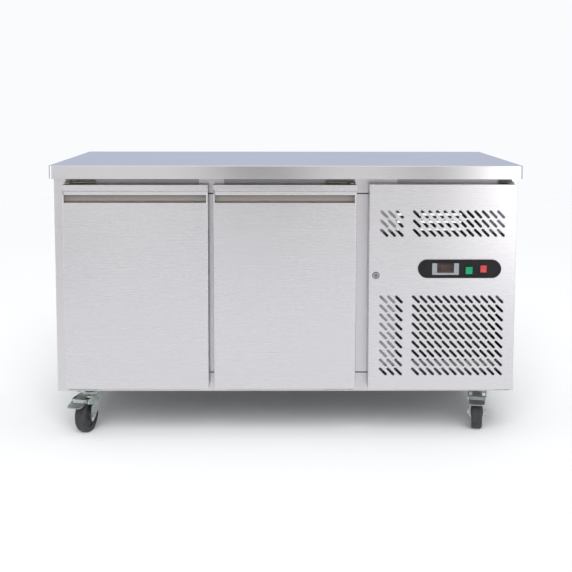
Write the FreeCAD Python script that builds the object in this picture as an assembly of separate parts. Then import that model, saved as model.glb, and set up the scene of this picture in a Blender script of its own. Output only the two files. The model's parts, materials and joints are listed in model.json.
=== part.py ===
import FreeCAD, Part
import math
import os

# Two-door undercounter refrigerator with a machine compartment on its right, on four castors.
# Millimetres. +X is right as seen from the front, +Y is back, +Z is up.
# The origin is on the floor, under the centre of the worktop.

V = FreeCAD.Vector
ALONG_X, ALONG_Y, ALONG_Z = V(1, 0, 0), V(0, 1, 0), V(0, 0, 1)

# ---- driving dimensions ----
WIDTH, DEPTH, HEIGHT = 1360.0, 700.0, 805.0    # worktop outline and overall height
SKIRT = 38.0              # height of the worktop's folded edge
TOP_SHEET = 1.5           # worktop gauge
TOP_CORNER_R = 14.0       # worktop corners seen from above
SHEET = 1.0               # gauge of the other sheet parts
BODY_HALF = 676.0         # half the cabinet's width
FACE_Y, BACK_Y = -290.0, 340.0                 # front frame's face, cabinet's back
BODY_Z0 = 131.0           # underside of the cabinet, on the castor plates
BODY_Z1 = HEIGHT - SKIRT
STILE_X = 642.0           # inner edge of the side panels' front returns
OPEN_Z0, OPEN_Z1 = 187.0, 721.0                # cold cavity, floor and ceiling
CAVITY_X0, CAVITY_X1 = -612.0, 172.0
CAVITY_Y1 = 280.0
LINER = 0.8
SEAM = 1.6                # open joint between the frame's posts and rails
MULLION_X0, MULLION_X1, MULLION_Y1 = -254.0, -180.0, -240.0
BULKHEAD_X = 235.0        # cold side of the machine compartment's wall
POST_X1 = 325.0           # edge of the machine post's wide flange

DOOR_FACE_Y, DOOR_BACK_Y = -345.0, -298.0
DOOR_Z0, DOOR_Z1 = 152.0, 750.0
LEFT_DOOR = (-642.3, -224.6)
RIGHT_DOOR = (-209.5, 202.8)
PIVOT_IN, PIVOT_BACK = 13.0, 20.0              # hinge pin from a door's edge and from its face
PIN_R, RUN_GAP = 4.0, 0.05
POCKET_Z0, POCKET_Z1, POCKET_TOP = 698.0, 721.0, 735.0
POCKET_Y, POCKET_LEAN, POCKET_R = -318.0, 6.0, 7.0   # pocket's back wall, its forward lean, its cove
POCKET_END = 5.0          # width of the closed ends of the pocket
HANDLE_BACK_Y, HANDLE_FRONT_Y = -338.0, -348.5
DISH_IN, DISH_DEPTH = 45.0, 5.0                # pressed field of the inner door skin
GASKET_IN, GASKET_W = 14.0, 18.0

PANEL_X0, PANEL_X1, PANEL_Z0, PANEL_Z1, PANEL_BACK_Y = 240.4, 660.6, 150.0, 751.0, -294.0
SLOT_R, SLOT_RUN = 4.0, 16.0                   # slot's half width, run of its centre line
SLOT_PITCH_X, SLOT_PITCH_Z = 22.0, 26.65
LEFT_COLUMNS, RIGHT_COLUMNS, COLUMN_X0, COLUMN_X1 = 3, 12, 283.0, 377.0
UPPER_ROWS, LOWER_ROWS, UPPER_Z, LOWER_Z = 3, 9, 665.0, 417.0
BEZEL_X, BEZEL_Z, BEZEL_LENGTH, BEZEL_HEIGHT = 501.6, 507.0, 240.0, 53.5
CONTROLLER_X, CONTROLLER_Z = 460.7, 506.5
CONTROLLER_W, CONTROLLER_H = 77.0, 34.0
ROCKERS = {"green_rocker": (529.4, 502.3, 20.0), "red_rocker": (571.0, 507.0, 18.5)}
ROCKER_PIVOT_Y, ROCKER_TILT = -344.0, 7.0
LOCK_X, LOCK_Z = 260.0, 487.5

CASTOR_X, CASTOR_REAR_Y = 588.0, 262.0
WHEEL_R, WHEEL_W, TRAIL = 50.0, 32.0, 35.0
AXLE_R, KINGPIN_R = 6.0, 6.0
FORK_HALF, FORK_SHOULDER, FORK_GAUGE = 22.0, 27.5, 3.0   # half widths beside the axle and at the crown
CROWN_Z = 110.0
PEDAL_PIVOT = (70.0, 101.0)                    # ahead of the swivel axis, above the floor
PEDAL_HALF, PEDAL_REACH = 23.5, 123.0
CASTORS = {
    "front_left": (-CASTOR_X, -226.0, -16.0),
    "front_right": (CASTOR_X, -195.0, -11.0),
    "rear_left": (-CASTOR_X, CASTOR_REAR_Y, 9.0),
    "rear_right": (CASTOR_X, CASTOR_REAR_Y, -12.0),
}

CONDENSER = (285.0, 615.0, -250.0, -206.0, 160.0, 460.0)
FAN_R, FAN_Z, FAN_X = 124.0, 310.0, 450.0
COMPRESSOR_X, COMPRESSOR_Y, COMPRESSOR_R = 420.0, 95.0, 76.0
TRAY_Z = 134.5            # top of the unit tray's floor
EVAPORATOR = (-420.0, -14.0, 150.0, 279.0, 560.0, 720.0)
SHELF_Z = 440.0


# ---- building blocks ----
def box(x0, x1, y0, y1, z0, z1):
    return Part.makeBox(x1 - x0, y1 - y0, z1 - z0, V(x0, y0, z0))


def rod(radius, start, end):
    run = V(*end) - V(*start)
    return Part.makeCylinder(radius, run.Length, V(*start), run)


def face_of(points):
    return Part.Face(Part.makePolygon([V(*p) for p in points + points[:1]]))


def along_x(outline_yz, x0, x1):
    return face_of([(x0, y, z) for y, z in outline_yz]).extrude(V(x1 - x0, 0, 0))


def along_y(outline_xz, y0, y1):
    return face_of([(x, y0, z) for x, z in outline_xz]).extrude(V(0, y1 - y0, 0))


def along_z(outline_xy, z0, z1):
    return face_of([(x, y, z0) for x, y in outline_xy]).extrude(V(0, 0, z1 - z0))


def fuse(first, *others):
    return first.multiFuse(list(others)).removeSplitter()


def stadium_wire(x, z, length, height, y):
    r = height / 2
    half = length / 2 - r
    corners = [V(x - half, y, z - r), V(x + half, y, z - r), V(x + half, y, z + r), V(x - half, y, z + r)]
    right = Part.Arc(corners[1], V(x + half + r, y, z), corners[2]).toShape()
    left = Part.Arc(corners[3], V(x - half - r, y, z), corners[0]).toShape()
    return Part.Wire([Part.makeLine(corners[0], corners[1]), right, Part.makeLine(corners[2], corners[3]), left])


def stadium(x, z, length, height, y0, y1):
    return Part.Face(stadium_wire(x, z, length, height, y0)).extrude(V(0, y1 - y0, 0))


def rounded(shape, radius, axis, pick):
    """Fillet the straight edges that run along the axis and whose end points satisfy pick."""
    edges = []
    for e in shape.Edges:
        ends = [v.Point for v in e.Vertexes]
        if len(ends) == 2 and (ends[1] - ends[0]).cross(axis).Length < 0.01 and all(pick(p) for p in ends):
            edges.append(e)
    return shape.makeFillet(radius, edges)


def near(value, target):
    return abs(value - target) < 0.01


def polar_copies(shape, count, axis_point, axis):
    copies = []
    for i in range(count):
        one = shape.copy()
        one.rotate(axis_point, axis, 360.0 * i / count)
        copies.append(one)
    return copies


def pipe(points, radius, bend):
    """A round tube along straight runs joined by tangent arcs."""
    p = [V(*q) for q in points]
    edges, start = [], p[0]
    for before, corner, after in zip(p, p[1:], p[2:]):
        into = (corner - before).normalize()
        out = (after - corner).normalize()
        half_turn = into.getAngle(out) / 2
        setback = bend * math.tan(half_turn)
        enter, leave = corner - into * setback, corner + out * setback
        inward = (out - into).normalize()
        middle = corner + inward * (bend / math.cos(half_turn) - bend)
        edges.append(Part.makeLine(start, enter))
        edges.append(Part.Arc(enter, middle, leave).toShape())
        start = leave
    edges.append(Part.makeLine(start, p[-1]))
    circle = Part.Wire([Part.makeCircle(radius, p[0], p[1] - p[0])])
    return Part.Wire(edges).makePipeShell([circle], True, False)


NODES = {}


def keep(name, *solids):
    NODES[name] = list(solids)


# ---- cabinet ----
def worktop():
    z0, z1 = BODY_Z1, HEIGHT
    outer = box(-WIDTH / 2, WIDTH / 2, -DEPTH / 2, DEPTH / 2, z0, z1)
    t, r = TOP_SHEET, TOP_CORNER_R
    outer = rounded(outer, r, ALONG_Z, lambda p: near(abs(p.x), WIDTH / 2) and near(abs(p.y), DEPTH / 2))
    outer = outer.makeFillet(t, [e for e in outer.Edges if all(near(v.Z, z1) for v in e.Vertexes)])
    core = box(-WIDTH / 2 + t, WIDTH / 2 - t, -DEPTH / 2 + t, DEPTH / 2 - t, z0 + t, z1 - t)
    core = rounded(core, r - t, ALONG_Z, lambda p: near(abs(p.x), WIDTH / 2 - t) and near(abs(p.y), DEPTH / 2 - t))
    mouth = box(-WIDTH / 2 + 16, WIDTH / 2 - 16, -DEPTH / 2 + 16, DEPTH / 2 - 8, z0 - 1, z0 + t)
    keep("worktop", outer.cut(core).cut(mouth))
    keep("worktop_core", core)


def side_panels():
    rear_return = 26.0
    for name, s in (("left_side_panel", -1), ("right_side_panel", 1)):
        x = s * BODY_HALF
        outline = [
            (x, FACE_Y), (s * STILE_X, FACE_Y), (s * STILE_X, FACE_Y + SHEET), (x - s * SHEET, FACE_Y + SHEET),
            (x - s * SHEET, BACK_Y - SHEET), (x - s * rear_return, BACK_Y - SHEET), (x - s * rear_return, BACK_Y),
            (x, BACK_Y),
        ]
        panel = along_z(outline, BODY_Z0, BODY_Z1)
        corner = [e for e in panel.Edges if all(near(v.X, x) and near(v.Y, FACE_Y) for v in e.Vertexes)]
        keep(name, panel.makeFillet(0.9, corner))


def rear_and_base():
    edge = BODY_HALF - 26.0
    keep("rear_panel", box(-edge, BULKHEAD_X, BACK_Y - SHEET, BACK_Y, BODY_Z0 + SHEET, BODY_Z1))
    grille = box(BULKHEAD_X + SHEET, edge, BACK_Y - SHEET, BACK_Y, BODY_Z0 + SHEET, BODY_Z1)
    vents = []
    for column in (340.0, 546.0):
        for row in range(16):
            vents.append(stadium(column, 300.0 + 26.0 * row, 150.0, 9.0, BACK_Y - 2 * SHEET, BACK_Y + SHEET))
    gland_hole = rod(8.0, (600, BACK_Y - 5, 180), (600, BACK_Y + 5, 180))
    keep("rear_grille", grille.cut(Part.makeCompound(vents + [gland_hole])))
    x = BODY_HALF - SHEET
    base = box(-x, x, FACE_Y + SHEET, BACK_Y - SHEET, BODY_Z0, BODY_Z0 + SHEET)
    keep("base_panel", base.cut(Part.makeCompound(castor_bolt_holes(BODY_Z0 - 1, BODY_Z0 + 2))))


def front_frame():
    x, t = STILE_X, SHEET
    top = box(-x, x, FACE_Y, FACE_Y + t, OPEN_Z1, BODY_Z1)
    top = fuse(top, box(-x, x, FACE_Y, -262.0, BODY_Z1 - t, BODY_Z1))
    bottom = box(-x, x, FACE_Y, FACE_Y + t, BODY_Z0, OPEN_Z0)
    keep("frame_rails", top, bottom)
    z0, z1 = OPEN_Z0 + SEAM, OPEN_Z1 - SEAM
    mullion = box(MULLION_X0, MULLION_X1, FACE_Y, MULLION_Y1, z0, z1)
    hollow = box(MULLION_X0 + t, MULLION_X1 - t, FACE_Y + t, MULLION_Y1 - t, z0 - 1, z1 + 1)
    hinge_post = box(-x, CAVITY_X0, FACE_Y, FACE_Y + t, z0, z1)
    post = box(CAVITY_X1, POST_X1, FACE_Y, FACE_Y + t, z0, z1)
    cam_slot = box(LOCK_X - 9, LOCK_X + 9, FACE_Y - 1, FACE_Y + 2, LOCK_Z - 12, LOCK_Z + 30)
    bulkhead = box(BULKHEAD_X, BULKHEAD_X + t, FACE_Y + t, BACK_Y - t, BODY_Z0 + t, BODY_Z1 - t)
    keep("frame_posts", hinge_post, mullion.cut(hollow), post.cut(cam_slot), bulkhead)


def insulation():
    t = SHEET
    back, low, high = BACK_Y - t, BODY_Z0 + t, BODY_Z1 - t
    keep(
        "cabinet_foam",
        box(-BODY_HALF + t, CAVITY_X0, FACE_Y + t, back, low, high),
        box(CAVITY_X0, CAVITY_X1, CAVITY_Y1, back, low, high),
        box(CAVITY_X0, CAVITY_X1, FACE_Y + t, CAVITY_Y1, OPEN_Z1, high),
        box(CAVITY_X0, CAVITY_X1, FACE_Y + t, CAVITY_Y1, low, OPEN_Z0),
        box(CAVITY_X1, BULKHEAD_X, FACE_Y + t, back, low, high),
        box(MULLION_X0 + t, MULLION_X1 - t, FACE_Y + t, MULLION_Y1 - t, OPEN_Z0 + SEAM, OPEN_Z1 - SEAM),
    )


def cavity_liner():
    t = LINER
    outer = box(CAVITY_X0, CAVITY_X1, FACE_Y + SHEET, CAVITY_Y1, OPEN_Z0, OPEN_Z1)
    inner = box(CAVITY_X0 + t, CAVITY_X1 - t, FACE_Y, CAVITY_Y1 - t, OPEN_Z0 + t, OPEN_Z1 - t)
    inner = rounded(inner, 12.0, ALONG_Z, lambda p: near(p.y, CAVITY_Y1 - t))
    keep("cavity_liner", outer.cut(inner))


def shelf_supports():
    low, high = OPEN_Z0 + LINER, OPEN_Z1 - LINER
    wall = LINER + 0.1
    posts = [
        (CAVITY_X0 + wall, CAVITY_X0 + wall + 12), (-229.0, -215.0), (CAVITY_X1 - wall - 12, CAVITY_X1 - wall)
    ]
    solids = []
    for y in (-220.0, 120.0):
        for x0, x1 in posts:
            upright = box(x0, x1, y, y + 20, low, high)
            keyholes = [box(x0 - 1, x1 + 1, y + 7, y + 13, z, z + 10) for z in range(230, 700, 40)]
            solids.append(upright.cut(Part.makeCompound(keyholes)))
    for x, s in ((posts[0][1], 1), (-229.0, -1), (-215.0, 1), (posts[2][0], -1)):
        wide, deep, t = 20.0, 24.0, 1.5
        outline = [(x, SHELF_Z + deep), (x, SHELF_Z), (x + s * wide, SHELF_Z), (x + s * wide, SHELF_Z + t),
                   (x + s * t, SHELF_Z + t), (x + s * t, SHELF_Z + deep)]
        solids.append(along_y(outline, -235.0, 235.0))
    keep("shelf_uprights", *solids)
    wire_shelf("left_shelf", posts[0][1] + 3, -232.0)
    wire_shelf("right_shelf", -212.0, posts[2][0] - 3)


def wire_shelf(name, x0, x1):
    rim, wire, y0, y1 = 3.0, 1.6, -232.0, 232.0
    z = SHELF_Z + 1.5 + rim
    bars = [rod(rim, (x, y0, z), (x, y1, z)) for x in (x0 + rim, x1 - rim)]
    bars += [rod(rim, (x0 + rim, y, z), (x1 - rim, y, z)) for y in (y0, 0.0, y1)]
    bars += [Part.makeSphere(rim, V(x, y, z)) for x in (x0 + rim, x1 - rim) for y in (y0, y1)]
    count = 14
    for i in range(1, count):
        x = x0 + rim + (x1 - x0 - 2 * rim) * i / count
        bars.append(rod(wire, (x, y0 - 1, z + 2.2), (x, y1 + 1, z + 2.2)))
    keep(name, fuse(*bars))


# ---- doors ----
def pocket_space(x0, x1, grow):
    """The finger pocket's hollow, from the mouth in the face to the space behind the handle strip."""
    mouth_y, foot_y, r = DOOR_FACE_Y - 6, POCKET_Y - POCKET_LEAN, POCKET_R
    floor_z, diagonal = POCKET_Z0 - grow, r * (1 - math.sqrt(0.5))
    start = V(x0, mouth_y, floor_z)
    cove_start = V(x0, foot_y - r, floor_z)
    cove_middle = V(x0, foot_y - diagonal + 0.7 * grow, POCKET_Z0 + diagonal - 0.7 * grow)
    foot = V(x0, foot_y + grow, POCKET_Z0 + r)
    edges = [Part.makeLine(start, cove_start), Part.Arc(cove_start, cove_middle, foot).toShape()]
    rest = [foot, V(x0, POCKET_Y + grow, POCKET_TOP + grow), V(x0, HANDLE_BACK_Y + grow, POCKET_TOP + grow),
            V(x0, HANDLE_BACK_Y + grow, POCKET_Z1 - grow), V(x0, mouth_y, POCKET_Z1 - grow), start]
    edges += [Part.makeLine(a, b) for a, b in zip(rest, rest[1:])]
    return Part.Face(Part.Wire(edges)).extrude(V(x1 - x0, 0, 0))


def handle_strip(x0, x1):
    f, b = HANDLE_FRONT_Y, HANDLE_BACK_Y
    z0, z1 = POCKET_Z1, DOOR_Z1
    outline = [(b, z1), (f + 2.0, z1), (f + 0.6, z1 - 0.7), (f, z1 - 2.2), (f, z1 - 16.6), (f + 0.5, z1 - 17.4),
               (f + 3.2, z1 - 18.0), (f + 3.2, z1 - 19.4), (f + 1.9, z1 - 20.2), (f + 2.4, z0 + 4.0),
               (f + 1.8, z0 + 2.4), (f + 0.8, z0 + 1.6), (f + 0.8, z0), (b - 4.5, z0), (b - 4.5, POCKET_TOP + 1),
               (b, POCKET_TOP + 1)]
    strip = along_x(outline, x0, x1)
    slant = along_y([(x0 - 1, z1 + 1), (x0, z1), (x0 + 5.5, z0 + 10), (x0 + 5.5, z0 - 1), (x0 - 1, z0 - 1)],
                    f - 1, b - 2)
    return strip.cut(slant)


def door(name, span, hinge_side):
    x0, x1 = span
    pivot_x = x0 + PIVOT_IN if hinge_side < 0 else x1 - PIVOT_IN
    pivot_y = DOOR_FACE_Y + PIVOT_BACK
    t, back = SHEET, DOOR_BACK_Y - SHEET
    block = box(x0, x1, DOOR_FACE_Y, back, DOOR_Z0, DOOR_Z1)
    block = rounded(block, 2.5, ALONG_Z, lambda p: near(p.y, DOOR_FACE_Y))
    hollow = box(x0 + t, x1 - t, DOOR_FACE_Y + t, DOOR_BACK_Y, DOOR_Z0 + t, DOOR_Z1 - t)
    hollow = rounded(hollow, 1.5, ALONG_Z, lambda p: near(p.y, DOOR_FACE_Y + t))
    e = POCKET_END
    hollow = hollow.cut(pocket_space(x0 + e - t, x1 - e + t, t))
    behind = HANDLE_BACK_Y
    hollow = hollow.cut(box(x0 - 2, x1 + 2, HANDLE_FRONT_Y - 2, behind + t, POCKET_Z1 - t, DOOR_Z1 + 2))
    outside = block.cut(pocket_space(x0 + e, x1 - e, 0.0))
    outside = outside.cut(box(x0 - 2, x1 + 2, HANDLE_FRONT_Y - 2, behind, POCKET_Z1, DOOR_Z1 + 2))
    sockets = Part.makeCompound([
        rod(PIN_R + RUN_GAP, (pivot_x, pivot_y, DOOR_Z1 - 12.5), (pivot_x, pivot_y, DOOR_Z1 + 2)),
        rod(PIN_R + RUN_GAP, (pivot_x, pivot_y, DOOR_Z0 - 2), (pivot_x, pivot_y, DOOR_Z0 + 14.5)),
    ])
    dish = (x0 + DISH_IN, x1 - DISH_IN, DOOR_Z0 + DISH_IN, DOOR_Z1 - DISH_IN)
    dish_outer = box(dish[0] - t, dish[1] + t, back - DISH_DEPTH, DOOR_BACK_Y, dish[2] - t, dish[3] + t)
    dish_inner = box(dish[0], dish[1], back - DISH_DEPTH + t, DOOR_BACK_Y + 1, dish[2], dish[3])
    plate = box(x0 + t, x1 - t, back, DOOR_BACK_Y, DOOR_Z0 + t, DOOR_Z1 - t)
    foam = hollow.common(box(x0, x1, DOOR_FACE_Y, back, DOOR_Z0, DOOR_Z1)).cut(dish_outer).cut(sockets)
    keep(name + "_skin", outside.cut(hollow).cut(sockets))
    keep(name + "_handle", handle_strip(x0, x1))
    keep(name + "_liner", fuse(plate, dish_outer).cut(dish_inner))
    keep(name + "_foam", foam)
    keep(name + "_gasket", *gasket_bars(x0 + GASKET_IN, x1 - GASKET_IN, DOOR_Z0 + GASKET_IN, DOOR_Z1 - GASKET_IN))


def gasket_bars(x0, x1, z0, z1):
    """Four lengths of magnetic seal, mitred and joined at the corners."""
    w, a, b = GASKET_W, DOOR_BACK_Y, FACE_Y - 0.3
    i, j, k, l = x0 + w, x1 - w, z0 + w, z1 - w
    return (
        along_y([(x0, z0), (x1, z0), (j, k), (i, k)], a, b),
        along_y([(x1, z0), (x1, z1), (j, l), (j, k)], a, b),
        along_y([(x1, z1), (x0, z1), (i, l), (j, l)], a, b),
        along_y([(x0, z1), (x0, z0), (i, k), (i, l)], a, b),
    )


def hinge_bracket(pivot_x, length, side, door_edge_z, up):
    """An angle on the frame rail with a tapering leaf that carries the door's pin."""
    y, pin_y, t, gap = FACE_Y, DOOR_FACE_Y + PIVOT_BACK, 3.0, 2.0
    a, b = pivot_x + side * 11.0, pivot_x + side * (11.0 - length)
    leaf_z = door_edge_z + up * gap
    outline = [(a, y), (a, pin_y - 4), (a - side * 7, pin_y - 11), (a - side * 15, pin_y - 11),
               (a - side * 26, pin_y + 4), (b, y - 14), (b, y)]
    leaf = along_z(outline, min(leaf_z, leaf_z + up * t), max(leaf_z, leaf_z + up * t))
    far_z = leaf_z + up * 14.5
    plate = box(min(a, b), max(a, b), y - t, y, min(leaf_z, far_z), max(leaf_z, far_z))
    pin = rod(PIN_R, (pivot_x, pin_y, leaf_z), (pivot_x, pin_y, door_edge_z - up * 12.0))
    washer = rod(8.0, (pivot_x, pin_y, leaf_z), (pivot_x, pin_y, door_edge_z + up * 0.3))
    return fuse(leaf, plate, pin, washer)


def hinges_and_screws():
    rows = [
        (LEFT_DOOR[0] + PIVOT_IN, 86.0, -1, DOOR_Z0, DOOR_Z1),
        (RIGHT_DOOR[1] - PIVOT_IN, 86.0, 1, DOOR_Z0, DOOR_Z1),
        (PANEL_X1 - 12.0, 40.0, 1, PANEL_Z0, PANEL_Z1),
    ]
    brackets, screws = [], []
    for pivot_x, length, side, z0, z1 in rows:
        for edge, up in ((z0, -1), (z1, 1)):
            brackets.append(hinge_bracket(pivot_x, length, side, edge, up))
            count = 4 if length > 50 else 2
            for i in range(count):
                x = pivot_x - side * (4.0 + i * (length - 24.0) / (count - 1))
                screws.append(screw_head(x, FACE_Y - 3.0, edge + up * 11.0))
    keep("hinge_brackets", *brackets)
    keep("fixing_screws", *(screws + castor_bolts()))


def screw_head(x, y, z):
    return Part.makeCone(3.6, 2.6, 1.8, V(x, y, z), V(0, -1, 0))


# ---- service panel and controls ----
def slot_wire(x, z, y):
    h, r = SLOT_RUN / 2, SLOT_R
    d = r * math.sqrt(0.5)
    a, b = V(x - h, y, z + h), V(x + h, y, z - h)
    side, tip = V(d, 0, d), V(d, 0, -d)
    cap_b = Part.Arc(b + side, b + tip, b - side).toShape()
    cap_a = Part.Arc(a - side, a - tip, a + side).toShape()
    return Part.Wire([Part.makeLine(a + side, b + side), cap_b, Part.makeLine(b - side, a - side), cap_a])


def slot_centres():
    columns = [COLUMN_X0 + SLOT_PITCH_X * i for i in range(LEFT_COLUMNS)]
    columns += [COLUMN_X1 + SLOT_PITCH_X * i for i in range(RIGHT_COLUMNS)]
    rows = [UPPER_Z - SLOT_PITCH_Z * i for i in range(UPPER_ROWS)]
    rows += [LOWER_Z - SLOT_PITCH_Z * i for i in range(LOWER_ROWS)]
    return [(x, z) for x in columns for z in rows]


def service_panel():
    x0, x1, z0, z1, t = PANEL_X0, PANEL_X1, PANEL_Z0, PANEL_Z1, SHEET
    y0, y1, back = DOOR_FACE_Y, DOOR_FACE_Y + t, PANEL_BACK_Y
    outline = Part.makePolygon([V(*p) for p in
                                [(x0, y0, z0), (x1, y0, z0), (x1, y0, z1), (x0, y0, z1), (x0, y0, z0)]])
    holes = [slot_wire(x, z, y0) for x, z in slot_centres()]
    holes.append(stadium_wire(BEZEL_X, BEZEL_Z, BEZEL_LENGTH - 12, BEZEL_HEIGHT - 12, y0))
    holes.append(Part.Wire([Part.makeCircle(8.05, V(LOCK_X, y0, LOCK_Z), ALONG_Y)]))
    front = Part.Face([outline] + holes, "Part::FaceMakerBullseye").extrude(V(0, t, 0))
    pivot = (x1 - 12.0, DOOR_FACE_Y + PIVOT_BACK)
    low = box(x0 + t, x1 - t, y1, back, z0, z0 + t).cut(rod(4.05, (*pivot, z0 - 1), (*pivot, z0 + 2)))
    high = box(x0 + t, x1 - t, y1, back, z1 - t, z1).cut(rod(4.05, (*pivot, z1 - 2), (*pivot, z1 + 1)))
    keep("service_panel", front, low, high,
         box(x0, x0 + t, y1, back, z0, z1), box(x1 - t, x1, y1, back, z0, z1))


def control_bezel():
    y_front, y_plate, y_sheet = -349.4, -348.0, DOOR_FACE_Y
    rim = stadium(BEZEL_X, BEZEL_Z, BEZEL_LENGTH, BEZEL_HEIGHT, y_front, y_sheet)
    rim = rim.cut(stadium(BEZEL_X, BEZEL_Z, BEZEL_LENGTH - 7, BEZEL_HEIGHT - 7, y_front - 1, y_plate))
    body = fuse(rim, stadium(BEZEL_X, BEZEL_Z, BEZEL_LENGTH - 12.2, BEZEL_HEIGHT - 12.2, y_sheet, -342.0))
    window = box(CONTROLLER_X - 35.6, CONTROLLER_X + 35.6, -350, -330, CONTROLLER_Z - 14.6, CONTROLLER_Z + 14.6)
    body = body.cut(window)
    for x, z, width in ROCKERS.values():
        w = width / 2
        collar = box(x - w - 3, x + w + 3, y_front, -330, z - 15, z + 15)
        slot = box(x - w - 0.4, x + w + 0.4, -352, -329, z - 12.2, z + 12.2)
        pins = rod(1.55, (x - w - 2.2, ROCKER_PIVOT_Y, z), (x + w + 2.2, ROCKER_PIVOT_Y, z))
        body = fuse(body, collar).cut(slot).cut(pins)
    keep("control_bezel", body)


def rockers():
    for name, (x, z, width) in ROCKERS.items():
        w = width / 2
        y = ROCKER_PIVOT_Y
        outline = [(y - 4.4, z + 10.5), (y - 3.3, z + 5.2), (y - 2.9, z), (y - 3.3, z - 5.2), (y - 4.4, z - 10.5),
                   (y + 1.0, z - 10.8), (y + 6.0, z - 6.0), (y + 6.0, z + 6.0), (y + 1.0, z + 10.8)]
        body = along_x(outline, x - w, x + w)
        body = fuse(body, rod(1.5, (x - w - 2, y, z), (x + w + 2, y, z)))
        body.rotate(V(x, y, z), ALONG_X, ROCKER_TILT)
        keep(name, body)


def controller():
    x, z = CONTROLLER_X, CONTROLLER_Z
    w, h = CONTROLLER_W / 2, CONTROLLER_H / 2
    frame = box(x - w, x + w, -349.8, -348.0, z - h, z + h)
    frame = rounded(frame, 2.0, ALONG_Y, lambda p: near(abs(p.x - x), w) and near(abs(p.z - z), h))
    case = box(x - 35.5, x + 35.5, -348.0, -304.0, z - 14.5, z + 14.5)
    low, high = z - 11.0, z + h + 1
    keep("temperature_controller", fuse(frame.cut(box(x - 24.5, x + 24.5, -351, -347.9, low, high)), case))
    keep("controller_window", box(x - 24.5, x + 24.5, -349.3, -348.0, low, z + h))


def control_housing():
    x0, x1, z0, z1, t = 274.0, 640.0, 436.0, 606.0, 2.0
    shell = box(x0, x1, DOOR_FACE_Y + SHEET, -300, z0, z1)
    keep("control_housing", shell.cut(box(x0 + t, x1 - t, -346, -300 - t, z0 + t, z1 - t)))


def panel_lock():
    x, z, y = LOCK_X, LOCK_Z, DOOR_FACE_Y
    rosette = Part.makeCone(9.0, 8.2, 2.0, V(x, y, z), V(0, -1, 0))
    barrel = rod(8.0, (x, y, z), (x, -293.0, z))
    bore = rod(6.0 + RUN_GAP, (x, -350, z), (x, -280, z))
    keep("panel_lock", fuse(rosette, barrel).cut(bore))
    plug = rod(6.0, (x, y - 1.6, z), (x, -284.5, z))
    keyway = box(x - 0.6, x + 0.6, y - 3, y + 14, z - 3.6, z + 3.6)
    cam = box(x - 6.5, x + 6.5, -287.5, -284.5, z - 6.5, z + 26)
    keep("lock_plug", fuse(plug.cut(keyway), cam))


# ---- refrigeration ----
def finned_block(x0, x1, y0, y1, z0, z1, pitch, groove, depth):
    """A block with fin grooves in its front and back faces, standing upright."""
    count = int((x1 - x0) / pitch)
    front, rear = [], []
    for i in range(count):
        a = x0 + (x1 - x0) * (i + 0.5) / count - groove / 2
        front += [(a, y0), (a, y0 + depth), (a + groove, y0 + depth), (a + groove, y0)]
        rear += [(a, y1), (a, y1 - depth), (a + groove, y1 - depth), (a + groove, y1)]
    outline = [(x0, y0)] + front + [(x1, y0), (x1, y1)] + rear[::-1] + [(x0, y1)]
    return along_z(outline, z0, z1)


def u_bend(x, y, z, span, tube, side):
    ring = Part.makeTorus(span / 2, tube, V(x, y, z), ALONG_Y)
    reach = span / 2 + tube + 1
    return ring.common(box(min(x, x + side * reach), max(x, x + side * reach), y - 9, y + 9, z - reach, z + reach))


def condenser():
    x0, x1, y0, y1, z0, z1 = CONDENSER
    core = finned_block(x0 + 2, x1 - 2, y0, y1, z0, z1, 6.0, 3.0, 12.0)
    plates = [box(x0, x0 + 2, y0, y1, z0, z1), box(x1 - 2, x1, y0, y1, z0, z1)]
    bends = []
    for x, side in ((x0, -1), (x1, 1)):
        for row in range(6):
            for y in (y0 + 11, y1 - 11):
                bends.append(u_bend(x, y, z0 + 27 + 50 * row, 25, 4.5, side))
    keep("condenser_coil", fuse(core, *(plates + bends)))


def condenser_fan():
    x0, x1, _, y0, z0, z1 = CONDENSER
    t, y1 = 1.5, y0 + 56
    shell = box(x0, x1, y0, y1, z0, z1).cut(box(x0 + t, x1 - t, y0 - 1, y1 - t, z0 + t, z1 - t))
    ring = rod(FAN_R + 6, (FAN_X, y1 - t, FAN_Z), (FAN_X, y1 + 14, FAN_Z))
    opening = rod(FAN_R + 4.5, (FAN_X, y1 - 9, FAN_Z), (FAN_X, y1 + 20, FAN_Z))
    keep("fan_shroud", fuse(shell, ring).cut(opening))
    motor = rod(42, (FAN_X, y1 + 28, FAN_Z), (FAN_X, y1 + 88, FAN_Z))
    motor = rounded_ends(motor, 6.0)
    shaft = rod(4, (FAN_X, y1 - 2, FAN_Z), (FAN_X, y1 + 29, FAN_Z))
    arm = box(FAN_X - 6, FAN_X + 6, y1 + 30, y1 + 33, FAN_Z + 36, FAN_Z + FAN_R + 5.5)
    foot = box(FAN_X - 6, FAN_X + 6, y1 + 14, y1 + 33, FAN_Z + FAN_R + 4.6, FAN_Z + FAN_R + 6)
    arms = polar_copies(fuse(arm, foot), 4, V(FAN_X, 0, FAN_Z), ALONG_Y)
    keep("condenser_fan_motor", fuse(motor, shaft, *arms))
    keep("condenser_fan_blade", fan_blade(FAN_X, y1 + 2, FAN_Z, FAN_R, 30.0, 24.0, 5))


def rounded_ends(cylinder, radius):
    return cylinder.makeFillet(radius, [e for e in cylinder.Edges if e.Closed])


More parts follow.
